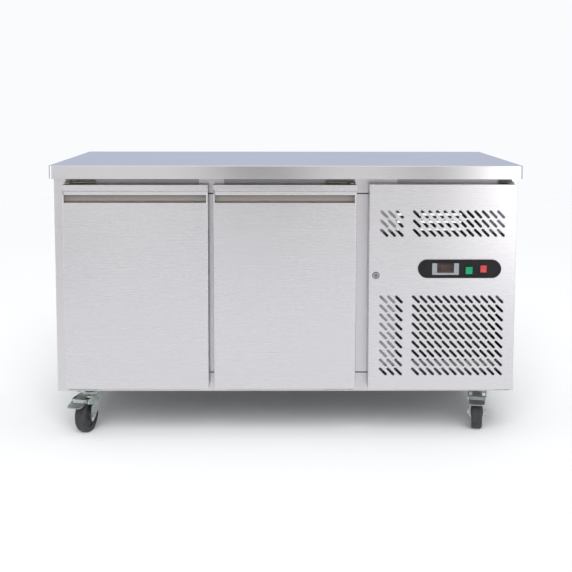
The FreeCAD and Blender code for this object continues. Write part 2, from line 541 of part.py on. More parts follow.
def fan_blade(x, y, z, radius, hub_r, hub_length, count):
    """Hub and pitched blades on an axis along Y, with the hub's front face at y - hub_length / 2."""
    hub = rod(hub_r, (x, y - hub_length / 2, z), (x, y + hub_length / 2, z))
    width = 1.05 * radius * math.sin(math.pi / count) + 6
    outline = [(x - 0.3 * width, z + hub_r - 3), (x + 0.3 * width, z + hub_r - 3),
               (x + 0.5 * width, z + 0.72 * radius), (x + 0.42 * width, z + 0.88 * radius),
               (x - 0.42 * width, z + 0.88 * radius), (x - 0.5 * width, z + 0.72 * radius)]
    blade = along_y(outline, y - 0.8, y + 0.8)
    blade.rotate(V(x, y, z), ALONG_Z, 24.0)
    blades = polar_copies(blade, count, V(x, 0, z), ALONG_Y)
    bore = rod(4.0 + RUN_GAP, (x, y - hub_length / 2 + 4, z), (x, y + hub_length / 2 + 1, z))
    return fuse(hub, *blades).cut(bore)


def compressor():
    x, y, r = COMPRESSOR_X, COMPRESSOR_Y, COMPRESSOR_R
    z0, seam, z1 = 153.0, 236.0, 330.0
    lower = rod(r, (x, y, z0), (x, y, seam))
    upper = rod(r, (x, y, seam), (x, y, z1))
    lower = lower.makeFillet(24.0, [e for e in lower.Edges if e.Closed and near(e.BoundBox.ZMax, z0)])
    upper = upper.makeFillet(42.0, [e for e in upper.Edges if e.Closed and near(e.BoundBox.ZMin, z1)])
    flange = rod(r + 4, (x, y, seam - 4), (x, y, seam + 4))
    plate = box(x - 95, x + 95, y - 62, y + 62, z0 - 3, z0 + 0.5)
    shell = fuse(lower, upper, flange, plate)
    relay_box = box(x - r - 34, x - r + 12, y - 28, y + 28, 205, 275).cut(shell)
    keep("compressor", shell, relay_box)
    feet = []
    for dx in (-80, 80):
        for dy in (-48, 48):
            feet.append(Part.makeCone(14, 11, z0 - 3 - TRAY_Z, V(x + dx, y + dy, TRAY_Z), ALONG_Z))
    keep("compressor_feet", *feet)
    return shell


def unit_tray():
    t = 1.5
    x0, x1, y0, y1 = 250.0, 660.0, -281.0, 300.0
    floor = box(x0, x1, y0, y1, TRAY_Z - t, TRAY_Z)
    front = box(x0, x1, y0, y0 + t, TRAY_Z, 222.0)
    stand = [box(x, x + 25, CONDENSER[2], CONDENSER[3], TRAY_Z, CONDENSER[4]) for x in (290.0, 585.0)]
    keep("unit_tray", floor, front, *stand)


def refrigerant_circuit(compressor_shell):
    x, y = COMPRESSOR_X, COMPRESSOR_Y
    cx, cy = CONDENSER[1], CONDENSER[3] - 11
    side_x = cx + 26
    high, low = CONDENSER[4] + 252, CONDENSER[4] + 52
    discharge = pipe([(x + 25, y, 300), (x + 25, y, high), (side_x, y, high), (side_x, cy, high), (cx, cy, high)],
                     4, 15)
    suction = pipe([(x - 25, y, 300), (x - 25, y, 640), (x - 25, 235, 640), (EVAPORATOR[1] - 28, 235, 640)], 5, 25)
    liquid = pipe([(cx, cy, low), (side_x, cy, low), (side_x, 40, low)], 4, 15)
    capillary = pipe([(side_x, 160, low), (side_x, 210, low), (side_x, 210, 668), (EVAPORATOR[1] - 28, 210, 668)],
                     1.5, 20)
    keep("refrigerant_pipes", discharge.cut(compressor_shell), suction.cut(compressor_shell), liquid, capillary)
    drier = rod(12, (side_x, 55, low), (side_x, 145, low))
    drier = fuse(drier, Part.makeCone(4.5, 12, 15, V(side_x, 40, low), ALONG_Y),
                 Part.makeCone(12, 3, 15, V(side_x, 145, low), ALONG_Y))
    keep("filter_drier", drier)


def evaporator():
    x0, x1, y0, y1, z0, z1 = EVAPORATOR
    t, fan_x, fan_z, fan_r = 1.2, (x0 + x1) / 2, 642.0, 66.0
    shell = box(x0, x1, y0, y1, z0, z1).cut(box(x0 + t, x1 - t, y0 + t, y1 + 1, z0 + t, z1 + 1))
    shell = shell.cut(rod(fan_r + 4, (fan_x, y0 - 1, fan_z), (fan_x, y0 + 5, fan_z)))
    intakes = []
    for x in (x0 + 50, x0 + 95, x1 - 50, x1 - 95):
        for row in range(6):
            intakes.append(stadium(x, 580 + 24 * row, 34, 8, y0 - 1, y0 + 3))
    side_holes = rod(7, (x1 - 3, 235, 640), (x1 + 2, 235, 640)).fuse(rod(3, (x1 - 3, 210, 668), (x1 + 2, 210, 668)))
    shell = shell.cut(Part.makeCompound(intakes)).cut(side_holes)
    guard = []
    for r in (24, 39, 54):
        ring = rod(r + 1.4, (fan_x, y0, fan_z), (fan_x, y0 + t, fan_z))
        guard.append(ring.cut(rod(r - 1.4, (fan_x, y0 - 1, fan_z), (fan_x, y0 + 2, fan_z))))
    spoke = box(fan_x - 1.5, fan_x + 1.5, y0, y0 + t, fan_z, fan_z + fan_r + 4.5)
    guard += polar_copies(spoke, 4, V(fan_x, 0, fan_z), ALONG_Y)
    keep("evaporator_cover", fuse(shell, *guard))
    coil = finned_block(x0 + 28, x1 - 28, y0 + 66, y1 - 8, z0 + 14, z1 - 12, 8.0, 4.5, 16.0)
    keep("evaporator_coil", coil)
    motor = rounded_ends(rod(24, (fan_x, y0 + 32, fan_z), (fan_x, y0 + 64, fan_z)), 4.0)
    bracket = box(fan_x - 90, fan_x + 90, y0 + 62, y0 + 65, fan_z - 8, fan_z + 8)
    shaft = rod(4, (fan_x, y0 + 15, fan_z), (fan_x, y0 + 34, fan_z))
    keep("evaporator_fan_motor", fuse(motor, shaft, bracket))
    keep("evaporator_fan_blade", fan_blade(fan_x, y0 + 18, fan_z, fan_r, 16.0, 16.0, 5))


def cable_gland():
    x, z, y = 600.0, 180.0, BACK_Y
    hexagon = [(x + 11 * math.cos(a), z + 11 * math.sin(a)) for a in (math.pi / 3 * i for i in range(6))]
    body = fuse(rod(7.9, (x, y - 14, z), (x, y, z)), along_y(hexagon, y, y + 5),
                Part.makeCone(9.0, 7.5, 4.5, V(x, y + 5, z), ALONG_Y), along_y(hexagon, y - 6, y - SHEET))
    keep("cable_gland", body.cut(rod(4.5, (x, y - 20, z), (x, y + 20, z))))


# ---- castors ----
def castor_bolt_holes(z0, z1):
    return [rod(4.05, (x, y, z0), (x, y, z1)) for x, y in castor_bolt_places()]


def castor_bolt_places():
    places = []
    for cx, cy, _ in CASTORS.values():
        places += [(cx + dx, cy + dy) for dx in (-30, 30) for dy in (-40, 40)]
    return places


def castor_bolts():
    bolts = []
    plate_z = BODY_Z0 - 3.0
    for x, y in castor_bolt_places():
        hexagon = [(x + 7 * math.cos(a), y + 7 * math.sin(a)) for a in (math.pi / 3 * i for i in range(6))]
        head = along_z(hexagon, plate_z - 5, plate_z)
        bolts.append(fuse(head, rod(4.0, (x, y, plate_z), (x, y, BODY_Z0 + SHEET))))
    return bolts


def castor_plates():
    plates = []
    for x, y, _ in CASTORS.values():
        top, t = BODY_Z0, 3.0
        plate = box(x - 42.5, x + 42.5, y - 52.5, y + 52.5, top - t, top)
        plate = rounded(plate, 9.0, ALONG_Z, lambda p: near(abs(p.x - x), 42.5) and near(abs(p.y - y), 52.5))
        race = Part.makeCone(24, 31, top - t - 118, V(x, y, 118), ALONG_Z)
        kingpin = rod(KINGPIN_R, (x, y, 103.5), (x, y, top - t))
        rivet = rod(10, (x, y, 101.5), (x, y, 106.5))
        shape = fuse(plate, race, kingpin, rivet)
        plates.append(shape.cut(Part.makeCompound(castor_bolt_holes(top - 5, top + 1))))
    keep("caster_plates", *plates)


def place_castor(shape, x, y, yaw):
    """Castor parts are built about the swivel axis with the wheel trailing to the front (-Y)."""
    shape.rotate(V(0, 0, 0), ALONG_Z, yaw)
    shape.translate(V(x, y, 0))
    return shape


def leg_profile(side):
    """A fork leg seen from the front: close to the wheel at the axle, wider at the crown."""
    low, high = side * FORK_HALF, side * FORK_SHOULDER
    t = side * FORK_GAUGE
    return [(low, 25.0), (low, 72.0), (high, 89.0), (high, CROWN_Z), (high - t, CROWN_Z), (high - t, 90.0),
            (low - t, 73.0), (low - t, 25.0)]


def fork():
    u, z = PEDAL_PIVOT
    ahead, nose_r, boss_r = FORK_SHOULDER + 2, 8.0, 9.0
    outline = [(26.0, CROWN_Z), (8.0 - u, CROWN_Z), (-u, z + nose_r), (-u, z - nose_r), (-43.0, 87.0),
               (-43.0, 38.0), (-40.5, 33.0), (-35.0, 31.5), (2.0, 62.0), (4.0, 94.0), (26.0, CROWN_Z - 4)]
    side_view = fuse(along_x(outline, -ahead, ahead), rod(nose_r, (-ahead, -u, z), (ahead, -u, z)))
    legs = []
    for side in (-1, 1):
        plate = along_y(leg_profile(side), -u - nose_r - 1, 27.0).common(side_view)
        a, b = sorted((side * FORK_HALF, side * (FORK_HALF - FORK_GAUGE)))
        legs.append(fuse(plate, rod(boss_r, (a, -TRAIL, WHEEL_R), (b, -TRAIL, WHEEL_R))))
    crown = box(-FORK_SHOULDER, FORK_SHOULDER, -34.0, 26.0, CROWN_Z - 3, CROWN_Z)
    visor = along_x([(-33.0, CROWN_Z), (-40.0, 113.5), (-66.0, 114.0), (-76.0, 108.5), (-75.0, 107.0),
                     (-65.5, 111.8), (-41.0, 111.3), (-33.0, CROWN_Z - 3)], -14.0, 14.0)
    race = Part.makeCone(29.0, 26.0, 7.0, V(0, 0, CROWN_Z), ALONG_Z)
    body = fuse(crown, visor, race, *legs)
    body = body.cut(rod(2.55, (-ahead, -u, z), (ahead, -u, z)))
    body = body.cut(rod(KINGPIN_R + RUN_GAP, (0, 0, 100), (0, 0, 130)))
    return body.cut(rod(AXLE_R + RUN_GAP, (-ahead, -TRAIL, WHEEL_R), (ahead, -TRAIL, WHEEL_R)))


def axle():
    y, z = -TRAIL, WHEEL_R
    hexagon = [(y + 8 * math.cos(a), z + 8 * math.sin(a)) for a in (math.pi / 3 * i for i in range(6))]
    bolt = rod(AXLE_R, (-25.0, y, z), (28.0, y, z))
    return fuse(bolt, along_x(hexagon, 22.0, 27.0), along_x(hexagon, -29.0, -24.8).fuse(
        rod(9.0, (-24.8, y, z), (-22.0, y, z))))


def wheel():
    r, w, y, z = WHEEL_R, WHEEL_W / 2, -TRAIL, WHEEL_R
    profile = [(AXLE_R + RUN_GAP, 17.5), (14.0, 17.5), (15.0, 12.0), (33.0, 8.0), (37.0, 13.5), (43.0, w), (46.5, w),
               (49.2, w - 3.5), (r, w - 7.5)]
    ring = profile + [(a, -b) for a, b in profile[::-1]]
    face = face_of([(b, y, z + a) for a, b in ring])
    return face.revolve(V(0, y, z), ALONG_X, 360)


def brake_pedal():
    """A bent plate between the fork's noses: two cheeks on the pin, a riser and a long rounded tread."""
    u, z = PEDAL_PIVOT
    half, reach = PEDAL_HALF, PEDAL_REACH
    bend = [(-80.0, 111.0), (-85.0, 109.5), (-90.5, 100.5), (-reach, 94.0), (-reach + 0.5, 92.2),
            (-89.2, 98.7), (-83.6, 107.9), (-80.0, 109.2)]
    plan = box(-half, half, -reach, -u, 85.0, 115.0)
    plan = rounded(plan, 13.0, ALONG_Z, lambda p: near(p.y, -reach))
    tread = along_x(bend, -half, half).common(plan)
    cheek = [(-u, z + 7), (-80.0, 111.0), (-85.0, 109.5), (-90.5, 100.5), (-88.0, 99.0), (-u, z - 7)]
    cheeks = []
    for a, b in ((-half, 2 - half), (half - 2, half)):
        cheeks.append(fuse(along_x(cheek, a, b), rod(7.0, (a, -u, z), (b, -u, z))))
    pin = rod(2.5, (-FORK_SHOULDER, -u, z), (FORK_SHOULDER, -u, z))
    notches = [box(a, a + 3.5, -94.0, -85.0, 97.0, 104.5) for a in (-half + 2, half - 5.5)]
    return fuse(tread, pin, *cheeks).cut(Part.makeCompound(notches))


def castors():
    for name, (x, y, yaw) in CASTORS.items():
        keep(name + "_fork", place_castor(fork(), x, y, yaw), place_castor(axle(), x, y, yaw))
        keep(name + "_wheel", place_castor(wheel(), x, y, yaw))
        if name.startswith("front"):
            keep(name + "_brake_pedal", place_castor(brake_pedal(), x, y, yaw))


# ---- the whole model ----
def build():
    worktop()
    side_panels()
    rear_and_base()
    front_frame()
    insulation()
    cavity_liner()
    shelf_supports()
    door("left_door", LEFT_DOOR, -1)
    door("right_door", RIGHT_DOOR, 1)
    hinges_and_screws()
    service_panel()
    control_bezel()
    rockers()
    controller()
    control_housing()
    panel_lock()
    condenser()
    condenser_fan()
    refrigerant_circuit(compressor())
    unit_tray()
    evaporator()
    cable_gland()
    castor_plates()
    castors()


def write_parts():
    os.makedirs("parts", exist_ok=True)
    for name, solids in NODES.items():
        flat = [s for shape in solids for s in shape.Solids]
        for solid in flat:
            if not solid.isValid() or solid.Volume <= 0:
                print("PROBLEM", name, solid.isValid(), round(solid.Volume, 2))
        shape = flat[0] if len(flat) == 1 else Part.makeCompound(flat)
        shape.exportStep("parts/" + name + ".step")
        if len(flat) != len(solids):
            print("note:", name, "was made from", len(solids), "shapes and holds", len(flat), "solids")


build()
write_parts()
print(len(NODES), "nodes")
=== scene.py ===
"""Looks of a two-door undercounter refrigerator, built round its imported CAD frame.

Metres. +X is right as seen from the front, +Y is back, +Z is up.
"""
import json
import math

import bmesh
import bpy
from mathutils import Matrix, Vector

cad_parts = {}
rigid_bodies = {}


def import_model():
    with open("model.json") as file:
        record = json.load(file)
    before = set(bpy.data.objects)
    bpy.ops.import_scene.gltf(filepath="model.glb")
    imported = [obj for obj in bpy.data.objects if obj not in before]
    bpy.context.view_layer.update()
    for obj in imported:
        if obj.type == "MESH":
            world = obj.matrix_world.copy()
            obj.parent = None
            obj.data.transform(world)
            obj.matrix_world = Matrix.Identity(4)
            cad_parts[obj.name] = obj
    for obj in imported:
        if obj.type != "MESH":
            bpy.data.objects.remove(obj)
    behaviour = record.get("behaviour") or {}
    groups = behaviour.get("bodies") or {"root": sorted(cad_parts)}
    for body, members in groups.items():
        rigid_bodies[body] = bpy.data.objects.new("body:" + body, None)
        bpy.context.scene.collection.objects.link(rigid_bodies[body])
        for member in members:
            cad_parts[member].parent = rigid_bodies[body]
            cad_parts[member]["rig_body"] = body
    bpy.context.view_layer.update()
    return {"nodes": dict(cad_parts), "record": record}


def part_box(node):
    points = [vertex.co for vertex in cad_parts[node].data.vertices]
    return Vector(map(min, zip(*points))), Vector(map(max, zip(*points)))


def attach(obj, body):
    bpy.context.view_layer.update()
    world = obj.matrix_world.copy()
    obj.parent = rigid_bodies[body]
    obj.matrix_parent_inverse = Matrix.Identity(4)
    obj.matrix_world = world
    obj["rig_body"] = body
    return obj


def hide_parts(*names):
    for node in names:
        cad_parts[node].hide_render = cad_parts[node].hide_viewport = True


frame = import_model()

MM = 0.001
SMOOTH_ANGLE = math.radians(32)
FLAT_ANGLE = math.radians(0.3)       # flatter joints between faces are merged
WELD = 2e-6                          # vertices nearer than this are one
CORNERS = ("front_left", "front_right", "rear_left", "rear_right")
DOORS = ("left_door", "right_door")
SEAM = 3.6 * MM                      # width of the sealant in the frame's joints
LIP_RADIUS, SHEET_RADIUS = 2.4 * MM, 0.3 * MM
BRACKET_SCREW, REAR_SCREW = 3.4 * MM, 3.8 * MM
REAR_SCREW_INSET = 11 * MM
GASKET_WIDTH = 18 * MM


# ---- procedural materials ----
class Finish:
    """The node graph of one material. Patterns use Object coordinates, which are the row frame's metres."""

    def __init__(self, name, colour, roughness, metallic=0.0, **inputs):
        self.material = bpy.data.materials.new(name)
        self.material.use_nodes = True
        self.tree = self.material.node_tree
        self.shader = self.tree.nodes["Principled BSDF"]
        self.place = self.add("ShaderNodeTexCoord").outputs["Object"]
        self.normal = None
        values = {"Base Color": (*colour, 1), "Roughness": roughness, "Metallic": metallic, **inputs}
        for key, value in values.items():
            self.shader.inputs[key].default_value = value

    def add(self, kind, **settings):
        node = self.tree.nodes.new(kind)
        for key, value in settings.items():
            setattr(node, key, value)
        return node

    def link(self, source, target):
        self.tree.links.new(source, target)

    def stretched(self, scale):
        mapping = self.add("ShaderNodeMapping")
        mapping.inputs["Scale"].default_value = scale
        self.link(self.place, mapping.inputs["Vector"])
        return mapping.outputs["Vector"]

    def noise(self, scale, detail=2.0):
        """Cloudy pattern with the given cycles per metre along each axis."""
        scale = scale if hasattr(scale, "__len__") else (scale,) * 3
        noise = self.add("ShaderNodeTexNoise")
        noise.inputs["Scale"].default_value = 1.0
        noise.inputs["Detail"].default_value = detail
        self.link(self.stretched(scale), noise.inputs["Vector"])
        return noise.outputs[0]

    def cells(self, scale):
        """Random shade per crystal, as on galvanised sheet."""
        cells = self.add("ShaderNodeTexVoronoi")
        cells.inputs["Scale"].default_value = scale
        self.link(self.place, cells.inputs["Vector"])
        grey = self.add("ShaderNodeSeparateColor")
        self.link(cells.outputs["Color"], grey.inputs[0])
        return grey.outputs[0]

    def crevice(self, reach):
        """Ambient occlusion: 1 in the open, falling to 0 in corners nearer than reach; multiplied into a base
        colour it paints shade.
        """
        shade = self.add("ShaderNodeAmbientOcclusion", samples=4)
        shade.inputs["Distance"].default_value = reach
        return shade.outputs["AO"]

    def spread(self, source, low, high, start=0.3, end=0.7):
        node = self.add("ShaderNodeMapRange")
        for key, value in (("From Min", start), ("From Max", end), ("To Min", low), ("To Max", high)):
            node.inputs[key].default_value = value
        self.link(source, node.inputs["Value"])
        return node.outputs["Result"]

    def within(self, axis, low, high, soft=0.0005):
        """1 between two planes across an axis and 0 beyond them."""
        parts = self.add("ShaderNodeSeparateXYZ")
        self.link(self.place, parts.inputs[0])
        above = self.spread(parts.outputs[axis], 0.0, 1.0, low - soft, low + soft)
        below = self.spread(parts.outputs[axis], 1.0, 0.0, high - soft, high + soft)
        return self.combine(above, below)

    def combine(self, first, second, operation="MULTIPLY"):
        """One value from two sockets or numbers."""
        node = self.add("ShaderNodeMath", operation=operation)
        for value, socket in ((first, node.inputs[0]), (second, node.inputs[1])):
            if isinstance(value, (int, float)):
                socket.default_value = value
            else:
                self.link(value, socket)
        return node.outputs[0]

    def colour(self, source, low, high, start=0.3, end=0.7):
        """Base colour that runs from low to high as source runs from start to end."""
        ramp = self.add("ShaderNodeValToRGB")
        for stop, place, shade in zip(ramp.color_ramp.elements, (start, end), (low, high)):
            stop.position = place
            stop.color = (*shade, 1)
        self.link(source, ramp.inputs["Fac"])
        self.link(ramp.outputs["Color"], self.shader.inputs["Base Color"])
        return ramp.outputs["Color"]

    def darken(self, colour, factor):
        """Multiply the base colour by a grey factor socket."""
        mix = self.add("ShaderNodeMixRGB", blend_type="MULTIPLY")
        mix.inputs["Fac"].default_value = 1.0
        self.link(colour, mix.inputs["Color1"])
        self.link(factor, mix.inputs["Color2"])
        self.link(mix.outputs["Color"], self.shader.inputs["Base Color"])

    def rough(self, source):
        self.link(source, self.shader.inputs["Roughness"])

    def bump(self, source, height):
        """Relief of the given height in metres, on top of any earlier relief."""
        bump = self.add("ShaderNodeBump")
        bump.inputs["Strength"].default_value = 1.0
        bump.inputs["Distance"].default_value = height
        self.link(source, bump.inputs["Height"])
        if self.normal:
            self.link(self.normal, bump.inputs["Normal"])
        self.normal = bump.outputs["Normal"]
        self.link(self.normal, self.shader.inputs["Normal"])


def shade(colour, factor):
    """A colour made darker or lighter by a factor."""
    return tuple(min(1.0, c * factor) for c in colour)


def brushed_steel(name, colour, grain, roughness=0.27, corner_reach=0.012, corner_shade=0.8):
    """Satin stainless sheet: fine grain along one axis, faint wipe marks, a barely wavy surface and painted
    shade in its corners.
    """
    f = Finish(name, colour, roughness, 1.0)
    along, across = 9.0, 1100.0
    fine = f.noise([along if axis == grain else across for axis in "xyz"], 3.0)
    streaks = f.noise([1.1 if axis == grain else 60.0 for axis in "xyz"], 2.0)
    wipes = f.noise(3.4, 4.0)
    base = f.colour(streaks, shade(colour, 0.996), shade(colour, 1.004))
    # painted shade: the base colour darkens to corner_shade where ambient occlusion finds nearby surfaces
    f.darken(base, f.spread(f.crevice(corner_reach), corner_shade, 1.0, 0.0, 0.8))
    grain_gloss = f.spread(fine, roughness - 0.015, roughness + 0.015)
    f.rough(f.combine(grain_gloss, f.spread(wipes, -0.012, 0.02), "ADD"))
    f.bump(fine, 0.15e-6)
    f.bump(f.noise(2.6, 1.0), 1.2e-4)
    return f.material


def galvanised(name, colour):
    """Zinc-dipped sheet with its spangle and painted shade in its corners."""
    f = Finish(name, colour, 0.42, 1.0)
    spangle = f.cells(95.0)
    base = f.colour(spangle, shade(colour, 0.86), shade(colour, 1.12), 0.0, 1.0)
    # painted shade: base colour darkened in corners by ambient occlusion
    f.darken(base, f.spread(f.crevice(0.02), 0.6, 1.0, 0.0, 0.8))
    f.rough(f.combine(f.spread(spangle, 0.34, 0.48, 0.0, 1.0), f.spread(f.noise(6.0), -0.04, 0.06), "ADD"))
    f.bump(f.noise(700.0), 4e-6)
    return f.material


def zinc(name, colour, corner_reach=0.006, corner_shade=0.5):
    """Bright zinc plate on pressings: cloudy, a little pitted, with painted shade in the corners."""
    f = Finish(name, colour, 0.5, 1.0)
    clouds = f.noise(55.0, 4.0)
    base = f.colour(clouds, shade(colour, 0.82), shade(colour, 1.12))
    # painted shade: base colour darkened in corners by ambient occlusion
    f.darken(base, f.spread(f.crevice(corner_reach), corner_shade, 1.0, 0.0, 0.85))
    f.rough(f.spread(clouds, 0.42, 0.6))
    f.bump(f.noise(1500.0, 3.0), 6e-6)
    return f.material


def chrome(name, colour):
    """Bright plating with small rub marks."""
    f = Finish(name, colour, 0.12, 1.0)
    marks = f.noise(320.0, 3.0)
    f.colour(marks, shade(colour, 0.9), shade(colour, 1.05))
    f.rough(f.spread(marks, 0.07, 0.2))
    return f.material


def moulded(name, colour, roughness, texture, coat=0.0, gloss=0.5):
    """Injection-moulded plastic or paint: fine orange peel, rubbed lighter by handling, with painted shade in
    its corners.
    """
    inputs = {"Coat Weight": coat, "Coat Roughness": 0.12, "Specular IOR Level": gloss}
    f = Finish(name, colour, roughness, **inputs)
    handling = f.noise(28.0, 4.0)
    base = f.colour(handling, shade(colour, 0.85), shade(colour, 1.25))
    # painted shade: base colour darkened in corners by ambient occlusion
    f.darken(base, f.spread(f.crevice(0.004), 0.6, 1.0, 0.0, 0.8))
    f.rough(f.spread(handling, roughness - 0.06, roughness + 0.08))
    f.bump(f.noise(1300.0, 2.0), texture)
    return f.material


def rubber(name, colour, roughness=0.62):
    """Matt rubber with dust in its pores and painted shade in its corners."""
    f = Finish(name, colour, roughness, **{"Sheen Weight": 0.05, "Specular IOR Level": 0.3})
    dust = f.noise(60.0, 5.0)
    base = f.colour(dust, shade(colour, 0.75), shade(colour, 1.45))
    # painted shade: base colour darkened in corners by ambient occlusion
    f.darken(base, f.spread(f.crevice(0.008), 0.45, 1.0, 0.0, 0.8))
    f.rough(f.spread(dust, roughness - 0.08, roughness + 0.12))
    f.bump(f.noise(900.0, 3.0), 2.5e-5)
    return f.material


def lens(name, colour, glow):
    """Translucent coloured switch cap with a faint lamp behind its middle."""
    inputs = {"Coat Weight": 0.15, "Specular IOR Level": 0.3, "Emission Strength": glow,
              "Subsurface Weight": 0.15, "Subsurface Radius": (0.004,) * 3}
    f = Finish(name, colour, 0.22, **inputs)
    cloud = f.noise(420.0, 2.0)
    base = f.colour(cloud, shade(colour, 0.88), shade(colour, 1.18))
    f.link(base, f.shader.inputs["Emission Color"])
    f.rough(f.spread(cloud, 0.16, 0.3))
    f.bump(f.noise(900.0), 6e-6)
    return f.material


def smoked_window(name, colour):
    """Dark glossy window with a faint lighter band across it."""
    inputs = {"Coat Weight": 0.25, "Coat Roughness": 0.03, "Specular IOR Level": 0.25}
    f = Finish(name, colour, 0.08, **inputs)
    band = f.noise((10.0, 10.0, 130.0), 1.0)
    f.colour(band, shade(colour, 0.6), shade(colour, 1.9), 0.35, 0.75)
    f.rough(f.spread(f.noise(240.0), 0.05, 0.13))
    return f.material


def foam(name, colour):
    """Open-pored rigid foam."""
    f = Finish(name, colour, 0.85)
    pores = f.noise(420.0, 4.0)
    f.colour(pores, shade(colour, 0.7), shade(colour, 1.1))
    f.rough(f.spread(pores, 0.75, 0.95))
    f.bump(pores, 3e-4)
    return f.material


def fins(name, colour):
    """Upright coil fins with dust on them, in a dark grey that paints the shade inside the machine
    compartment, with more painted shade in their corners.
    """
    f = Finish(name, colour, 0.38, 1.0)
    dust = f.noise(40.0, 4.0)
    base = f.colour(dust, shade(colour, 0.7), shade(colour, 1.05))
    # painted shade: base colour darkened in corners by ambient occlusion
    f.darken(base, f.spread(f.crevice(0.01), 0.45, 1.0, 0.0, 0.8))
    f.rough(f.spread(dust, 0.3, 0.5))
    f.bump(f.noise((2600.0, 300.0, 40.0), 1.0), 6e-5)
    return f.material


def pipe_copper(name, colour):
    """Copper with brown tarnish."""
    f = Finish(name, colour, 0.3, 1.0)
    tarnish = f.noise(45.0, 5.0)
    f.colour(tarnish, (0.34, 0.16, 0.1), colour)
    f.rough(f.spread(tarnish, 0.2, 0.46))
    f.bump(f.noise(700.0), 8e-6)
    return f.material


STEEL = (0.65, 0.636, 0.655)
FINISHES = {
    "stainless_worktop": brushed_steel("stainless_worktop", STEEL, "x", 0.2),
    "stainless_cabinet": brushed_steel("stainless_cabinet", shade(STEEL, 0.985), "z", 0.28),
    "stainless_doors": brushed_steel("stainless_doors", STEEL, "x", 0.27),
    "stainless_liner": brushed_steel("stainless_liner", shade(STEEL, 0.95), "z", 0.34),
    "galvanised_steel": galvanised("galvanised_steel", (0.52, 0.53, 0.54)),
    "polyurethane_foam": foam("polyurethane_foam", (0.78, 0.62, 0.3)),
    "grey_seal": rubber("grey_seal", (0.22, 0.22, 0.23), 0.5),
    "black_rubber": rubber("black_rubber", (0.02, 0.02, 0.02)),
    "castor_rubber": rubber("castor_rubber", (0.026, 0.026, 0.027), 0.55),
    "zinc_plate": zinc("zinc_plate", (0.46, 0.5, 0.485)),
    "coated_wire": moulded("coated_wire", (0.62, 0.64, 0.65), 0.28, 1.5e-5, 0.4),
    "black_plastic": moulded("black_plastic", (0.009, 0.009, 0.0095), 0.36, 8e-6, 0.0, 0.15),
    "matt_black_plastic": moulded("matt_black_plastic", (0.014, 0.014, 0.015), 0.55, 2e-5),
    "grey_plastic": moulded("grey_plastic", (0.17, 0.18, 0.19), 0.4, 1e-5, 0.0, 0.3),
    "dark_window": smoked_window("dark_window", (0.02, 0.013, 0.012)),
    "green_lens": lens("green_lens", (0.002, 0.2, 0.085), 0.12),
    "red_lens": lens("red_lens", (0.36, 0.035, 0.034), 0.1),
    "chrome_lock": chrome("chrome_lock", (0.62, 0.62, 0.64)),
    "black_paint": moulded("black_paint", (0.015, 0.015, 0.016), 0.42, 2e-5, 0.15),
    # the fins' dark grey stands in for the shade inside the compartment behind the slots
    "aluminium_fins": fins("aluminium_fins", (0.16, 0.16, 0.165)),
    "copper": pipe_copper("copper", (0.66, 0.31, 0.18)),
    "fan_plastic": moulded("fan_plastic", (0.02, 0.02, 0.022), 0.45, 1.5e-5),
}
# painted light: the forks get a lighter copy of the castor zinc, lifting them where they mirror the shaded
# floor
LIT_FORK_ZINC = zinc("lit_fork_zinc", (0.74, 0.79, 0.77))
UNLIT_SEGMENT = moulded("display_segment", (0.05, 0.022, 0.02), 0.25, 4e-6)
OWN_FINISHES = {                     # for nodes that differ from the rest of their slot
    # posts: a darker copy of the steel with painted shade in corners, for the shade in the recessed mullion
    "frame_posts": brushed_steel("frame_post_shaded_steel", shade(STEEL, 0.95), "z", 0.29, 0.02, 0.93),
    # hinge brackets: strong painted shade in their corners and holes
    "hinge_brackets": zinc("hinge_zinc", (0.42, 0.42, 0.42), 0.012, 0.15),
    "lock_plug": chrome("lock_plug_chrome", (0.24, 0.24, 0.26)),
    "panel_lock": chrome("lock_rim_chrome", (0.5, 0.5, 0.52)),
    **{corner + "_fork": LIT_FORK_ZINC for corner in CORNERS},
}
# painted shade: darker, browner steel for the faces inside the handle pockets
POCKET_SHADE_STEEL = brushed_steel("pocket_shade_steel", (0.52, 0.487, 0.455), "x", 0.62, 0.03, 0.97)
# painted highlight: brighter steel on the bevel of the pocket's lip
LIP_HIGHLIGHT_STEEL = brushed_steel("lip_highlight_steel", shade(STEEL, 1.25), "x", 0.3, 0.004, 1.0)
SLOT_OF = {part["node"]: part["material_slot"] for part in frame["record"]["subparts"]}


# ---- mesh helpers ----
def add_piece(name, bm, body, slot, replaces=(), finish=None):
    """Turn a bmesh in the row frame into a smooth-shaded piece that rides on a body."""
    mesh = bpy.data.meshes.new(name)
    bmesh.ops.recalc_face_normals(bm, faces=bm.faces)
    bm.to_mesh(mesh)
    bm.free()
    mesh.polygons.foreach_set("use_smooth", [True] * len(mesh.polygons))
    mesh.set_sharp_from_angle(angle=SMOOTH_ANGLE)
    mesh.materials.append(finish or FINISHES[slot])
    piece = bpy.data.objects.new(name, mesh)
    bpy.context.scene.collection.objects.link(piece)
    weights = piece.modifiers.new("face_weights", "WEIGHTED_NORMAL")
    weights.keep_sharp = True
    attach(piece, body)
    if replaces:
        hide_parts(*replaces)
    return piece


def refine(node, radius, segments=2, sharp=30.0):
    """Stand-in for a CAD node with the same shape and softened edges."""
    bm = welded(node)
    limit = math.radians(sharp)
    edges = [e for e in bm.edges if len(e.link_faces) == 2 and e.calc_face_angle() > limit]
    bmesh.ops.bevel(bm, geom=edges, offset=radius, segments=segments, profile=0.6, affect="EDGES",
                    clamp_overlap=True)
    body = frame["nodes"][node]["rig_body"]
    add_piece(node + "_finished", bm, body, SLOT_OF[node], [node], OWN_FINISHES.get(node))


